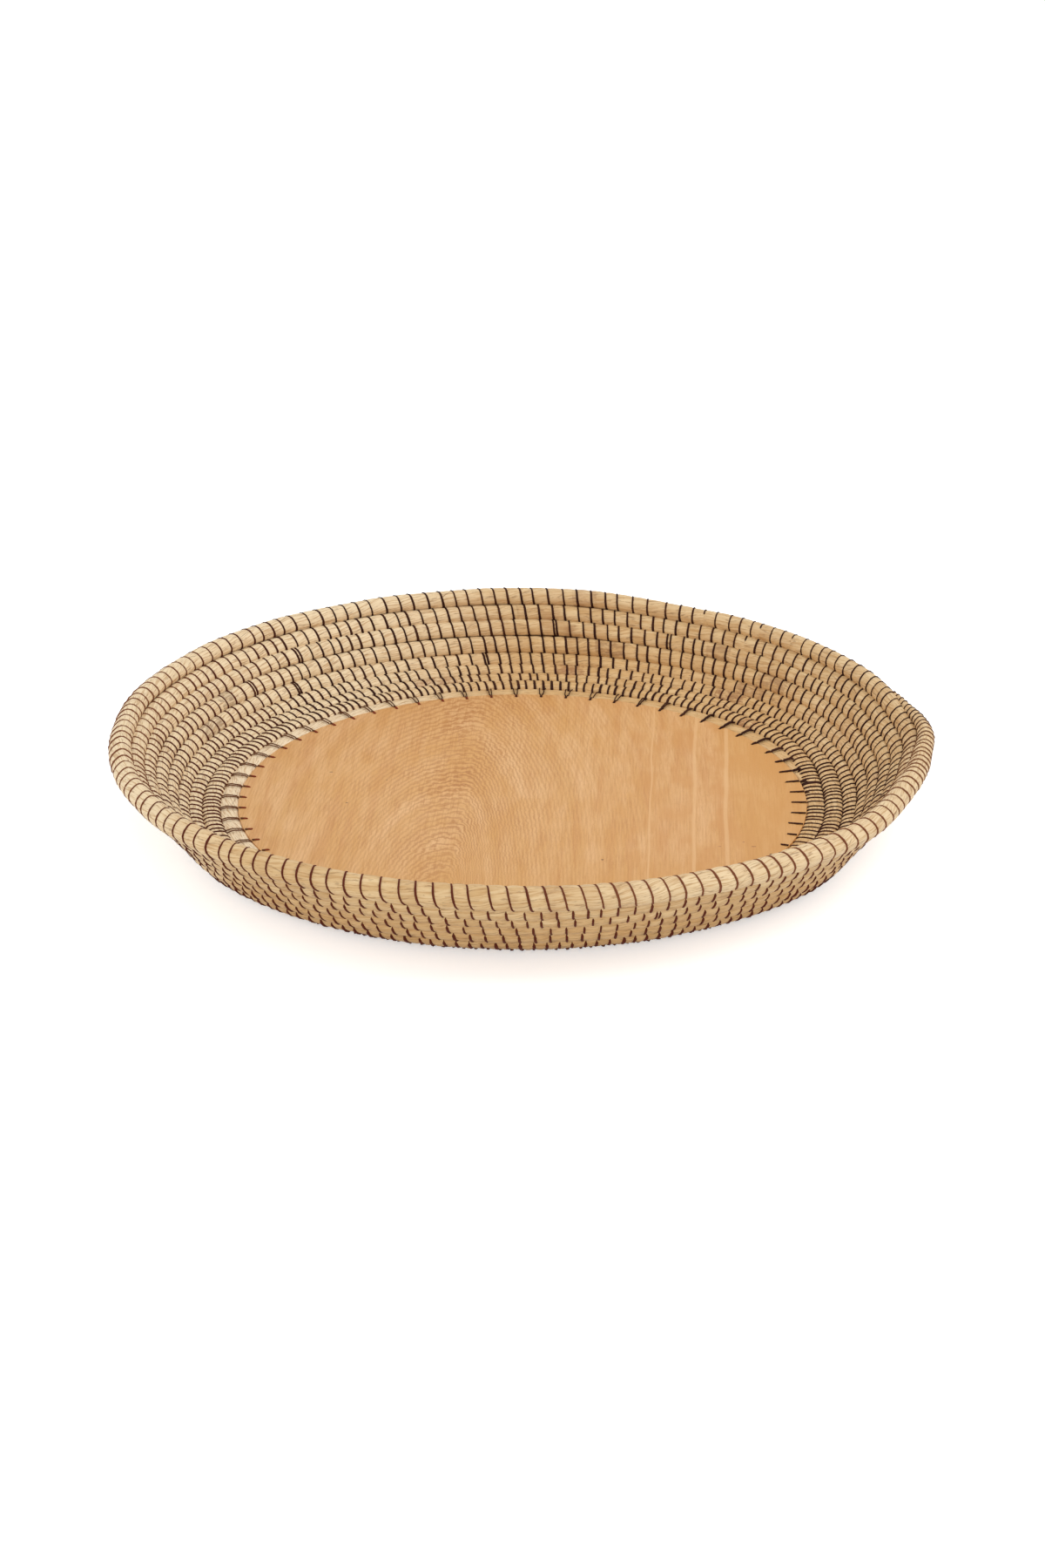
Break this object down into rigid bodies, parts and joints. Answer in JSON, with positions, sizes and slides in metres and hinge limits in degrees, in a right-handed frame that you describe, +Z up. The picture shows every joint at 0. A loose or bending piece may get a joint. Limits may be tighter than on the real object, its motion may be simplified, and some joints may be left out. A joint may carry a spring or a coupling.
{
  "type": "coiled grass tray with wooden base",
  "caption": "Round low tray with a thin wooden base laced into a flared wall of coiled grass, its rows sewn together with dark thread.",
  "frame": {"origin": "middle of the tray on the plane that it stands on", "axes": "+Z up out of the tray, +X to the right as pictured, where the grass coil starts and ends, +Y to the back"},
  "size_m": [0.4599, 0.4606, 0.0534],
  "materials": {
    "wood": "satin, lightly sealed softwood ply",
    "grass": "dry unvarnished grass stems, slight sheen",
    "thread": "matt dark brown waxed thread"
  },
  "bodies": {
    "root": {"wooden_base": "wood", "grass_coil": "grass", "base_lacing": "thread"}
  },
  "joints": []
}
